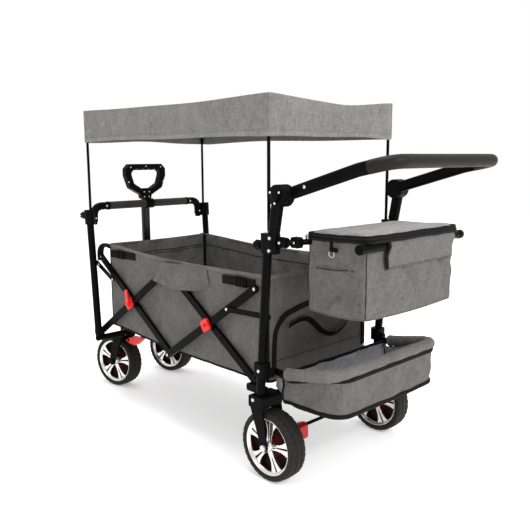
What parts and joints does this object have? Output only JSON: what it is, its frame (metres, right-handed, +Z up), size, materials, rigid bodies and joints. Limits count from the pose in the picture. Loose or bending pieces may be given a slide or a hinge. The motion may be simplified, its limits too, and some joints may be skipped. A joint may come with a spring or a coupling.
{
  "type": "folding pull wagon",
  "caption": "Folding fabric pull wagon with scissor side frames, swivel front wheels, pull handle, push bar, canopy, rear bag and rear tray.",
  "frame": {"origin": "on the floor under the middle of the wagon's bounding box", "axes": "+X forwards to the pull handle, +Y to the wagon's left, +Z up"},
  "size_m": [1.5114, 0.598, 1.096],
  "materials": {
    "steel_black": "satin black powder coat",
    "plastic_black": "moulded black plastic",
    "foam_black": "closed-cell foam",
    "rim_silver": "bright silver rim",
    "tyre_black": "dark rubber tread",
    "zinc": "zinc-plated steel",
    "red_plastic": "bright red moulding",
    "pedal_red": "dark red moulding",
    "fabric_grey": "heather grey woven polyester",
    "fabric_sleeve": "heather grey woven polyester over foam"
  },
  "bodies": {
    "rear_frame": {"rear_posts": "steel_black", "rear_crossbar": "steel_black", "rear_forks": "steel_black", "rear_axles": "zinc", "push_bar_sockets": "plastic_black", "rear_clamps": "plastic_black", "rear_bolts": "zinc", "bag_frame": "steel_black", "bag_shell": "fabric_grey", "basket": "fabric_grey", "side_flaps": "fabric_grey"},
    "push_bar": {"push_bar": "steel_black", "push_bar_discs": "plastic_black", "push_bar_grip": "foam_black"},
    "bag_lid": {"bag_lid": "fabric_grey"},
    "tray": {"tray_bar": "steel_black", "tray_sleeve": "fabric_sleeve", "tray_pouch": "fabric_grey"},
    "rear_brake": {"brake_rod": "steel_black", "brake_pedals": "pedal_red"},
    "rear_left_wheel": {"rear_left_tyre": "tyre_black", "rear_left_rim": "rim_silver"},
    "rear_right_wheel": {"rear_right_tyre": "tyre_black", "rear_right_rim": "rim_silver"},
    "bar_rear_low": {"bar_rear_low": "steel_black"},
    "bar_rear_high": {"bar_rear_high": "steel_black", "rear_red_joints": "red_plastic"},
    "bar_front_high": {"bar_front_high": "steel_black", "front_red_joints": "red_plastic"},
    "bar_front_low": {"bar_front_low": "steel_black"},
    "left_latch": {"left_latch_tab": "red_plastic"},
    "right_latch": {"right_latch_tab": "red_plastic"},
    "rear_links": {"rear_links": "steel_black"},
    "front_frame": {"front_posts": "steel_black", "front_crossbar": "steel_black", "front_clamps": "plastic_black", "front_top_bar": "steel_black", "front_foam_grip": "foam_black", "handle_clip": "plastic_black", "front_brackets": "steel_black"},
    "front_links": {"front_links": "steel_black"},
    "left_caster": {"left_caster_fork": "steel_black"},
    "right_caster": {"right_caster_fork": "steel_black"},
    "left_caster_lock": {"left_caster_lock": "pedal_red"},
    "right_caster_lock": {"right_caster_lock": "pedal_red"},
    "front_left_wheel": {"front_left_tyre": "tyre_black", "front_left_rim": "rim_silver"},
    "front_right_wheel": {"front_right_tyre": "tyre_black", "front_right_rim": "rim_silver"},
    "pull_handle": {"handle_tube": "steel_black"},
    "handle_slider": {"handle_slider": "zinc", "handle_grip": "plastic_black"},
    "canopy": {"canopy": "fabric_grey", "rear_canopy_rods": "steel_black"},
    "front_rods": {"front_canopy_rods": "steel_black"},
    "rear_left_knob": {"rear_left_knob": "plastic_black"},
    "rear_right_knob": {"rear_right_knob": "plastic_black"},
    "front_left_knob": {"front_left_knob": "plastic_black"},
    "front_right_knob": {"front_right_knob": "plastic_black"}
  },
  "joints": [
    {"name": "fold", "type": "hinge", "parent": "rear_frame", "child": "bar_rear_low", "pos_m": [-0.279, 0, 0.257], "axis": [0, -1, 0], "range_deg": [0, 46.13], "deforming": ["basket", "side_flaps", "canopy"]},
    {"name": "rear_cross", "type": "hinge", "parent": "bar_rear_low", "child": "bar_rear_high", "pos_m": [-0.063, 0, 0.402], "axis": [0, -1, 0], "range_deg": [-92.25, 0]},
    {"name": "middle_pivot", "type": "hinge", "parent": "bar_rear_high", "child": "bar_front_high", "pos_m": [0.153, 0, 0.257], "axis": [0, -1, 0], "range_deg": [0, 92.25]},
    {"name": "front_cross", "type": "hinge", "parent": "bar_front_high", "child": "bar_front_low", "pos_m": [0.369, 0, 0.402], "axis": [0, -1, 0], "range_deg": [-92.25, 0]},
    {"name": "front_pivot", "type": "hinge", "parent": "bar_front_low", "child": "front_frame", "pos_m": [0.585, 0, 0.257], "axis": [0, -1, 0], "range_deg": [0, 46.13]},
    {"name": "rear_link", "type": "hinge", "parent": "rear_frame", "child": "rear_links", "pos_m": [-0.343, 0, 0.477], "axis": [0, -1, 0], "range_deg": [0, 62.86]},
    {"name": "front_link", "type": "hinge", "parent": "front_frame", "child": "front_links", "pos_m": [0.582, 0, 0.526], "axis": [0, -1, 0], "range_deg": [-106.52, 0]},
    {"name": "left_latch", "type": "hinge", "parent": "bar_front_high", "child": "left_latch", "pos_m": [0.369, 0.267, 0.402], "axis": [0, 1, 0], "range_deg": [0, 35]},
    {"name": "right_latch", "type": "hinge", "parent": "bar_front_high", "child": "right_latch", "pos_m": [0.369, -0.267, 0.402], "axis": [0, 1, 0], "range_deg": [0, 35]},
    {"name": "push_bar_tilt", "type": "hinge", "parent": "rear_frame", "child": "push_bar", "pos_m": [-0.399, 0, 0.818], "axis": [0, 1, 0], "range_deg": [-25, 60]},
    {"name": "bag_lid_hinge", "type": "hinge", "parent": "rear_frame", "child": "bag_lid", "pos_m": [-0.437, 0, 0.713], "axis": [0, 1, 0], "range_deg": [0, 100]},
    {"name": "tray_lift", "type": "hinge", "parent": "rear_frame", "child": "tray", "pos_m": [-0.352, 0, 0.318], "axis": [0, 1, 0], "range_deg": [0, 30]},
    {"name": "brake_press", "type": "hinge", "parent": "rear_frame", "child": "rear_brake", "pos_m": [-0.394, 0, 0.146], "axis": [0, 1, 0], "range_deg": [-22, 0]},
    {"name": "rear_left_spin", "type": "hinge", "parent": "rear_frame", "child": "rear_left_wheel", "pos_m": [-0.357, 0.254, 0.103], "axis": [0, 1, 0], "continuous": true},
    {"name": "rear_right_spin", "type": "hinge", "parent": "rear_frame", "child": "rear_right_wheel", "pos_m": [-0.357, -0.254, 0.103], "axis": [0, 1, 0], "continuous": true},
    {"name": "left_caster_swivel", "type": "hinge", "parent": "front_frame", "child": "left_caster", "pos_m": [0.613, 0.131, 0.225], "axis": [0, 0, 1], "continuous": true},
    {"name": "front_left_spin", "type": "hinge", "parent": "left_caster", "child": "front_left_wheel", "pos_m": [0.6531, 0.13952, 0.103], "axis": [-0.2079, 0.9781, 0], "continuous": true},
    {"name": "left_caster_lock_press", "type": "hinge", "parent": "left_caster", "child": "left_caster_lock", "pos_m": [0.58268, 0.12455, 0.199], "axis": [-0.2079, 0.9781, 0], "range_deg": [-12, 0]},
    {"name": "right_caster_swivel", "type": "hinge", "parent": "front_frame", "child": "right_caster", "pos_m": [0.613, -0.131, 0.225], "axis": [0, 0, 1], "continuous": true},
    {"name": "front_right_spin", "type": "hinge", "parent": "right_caster", "child": "front_right_wheel", "pos_m": [0.6531, -0.12248, 0.103], "axis": [-0.2079, 0.9781, 0], "continuous": true},
    {"name": "right_caster_lock_press", "type": "hinge", "parent": "right_caster", "child": "right_caster_lock", "pos_m": [0.58268, -0.13745, 0.199], "axis": [-0.2079, 0.9781, 0], "range_deg": [-12, 0]},
    {"name": "handle_swing", "type": "hinge", "parent": "front_frame", "child": "pull_handle", "pos_m": [0.635, 0, 0.245], "axis": [0, 1, 0], "range_deg": [0, 90]},
    {"name": "handle_extend", "type": "slide", "parent": "pull_handle", "child": "handle_slider", "axis": [0, 0, 1], "range_m": [0, 0.24]},
    {"name": "canopy_lift", "type": "slide", "parent": "rear_frame", "child": "canopy", "axis": [0, 0, 1], "range_m": [0, 0.04]},
    {"name": "front_rod_lift", "type": "slide", "parent": "front_frame", "child": "front_rods", "axis": [0, 0, 1], "range_m": [0, 0.04]},
    {"name": "rear_left_knob_turn", "type": "hinge", "parent": "rear_frame", "child": "rear_left_knob", "pos_m": [-0.325, 0.275, 0.681], "axis": [1, 0, 0], "continuous": true},
    {"name": "rear_right_knob_turn", "type": "hinge", "parent": "rear_frame", "child": "rear_right_knob", "pos_m": [-0.325, -0.275, 0.681], "axis": [1, 0, 0], "continuous": true},
    {"name": "front_left_knob_turn", "type": "hinge", "parent": "front_frame", "child": "front_left_knob", "pos_m": [0.629, 0.275, 0.703], "axis": [1, 0, 0], "continuous": true},
    {"name": "front_right_knob_turn", "type": "hinge", "parent": "front_frame", "child": "front_right_knob", "pos_m": [0.629, -0.275, 0.703], "axis": [1, 0, 0], "continuous": true}
  ],
  "couplings": [
    {"joint": "rear_cross", "follows": "fold", "ratio": -2},
    {"joint": "middle_pivot", "follows": "fold", "ratio": 2},
    {"joint": "front_cross", "follows": "fold", "ratio": -2},
    {"joint": "front_pivot", "follows": "fold", "ratio": 1},
    {"joint": "rear_link", "follows": "fold", "ratio": 1.3628},
    {"joint": "front_link", "follows": "fold", "ratio": -2.3093},
    {"joint": "front_rod_lift", "follows": "canopy_lift", "ratio": 1}
  ]
}
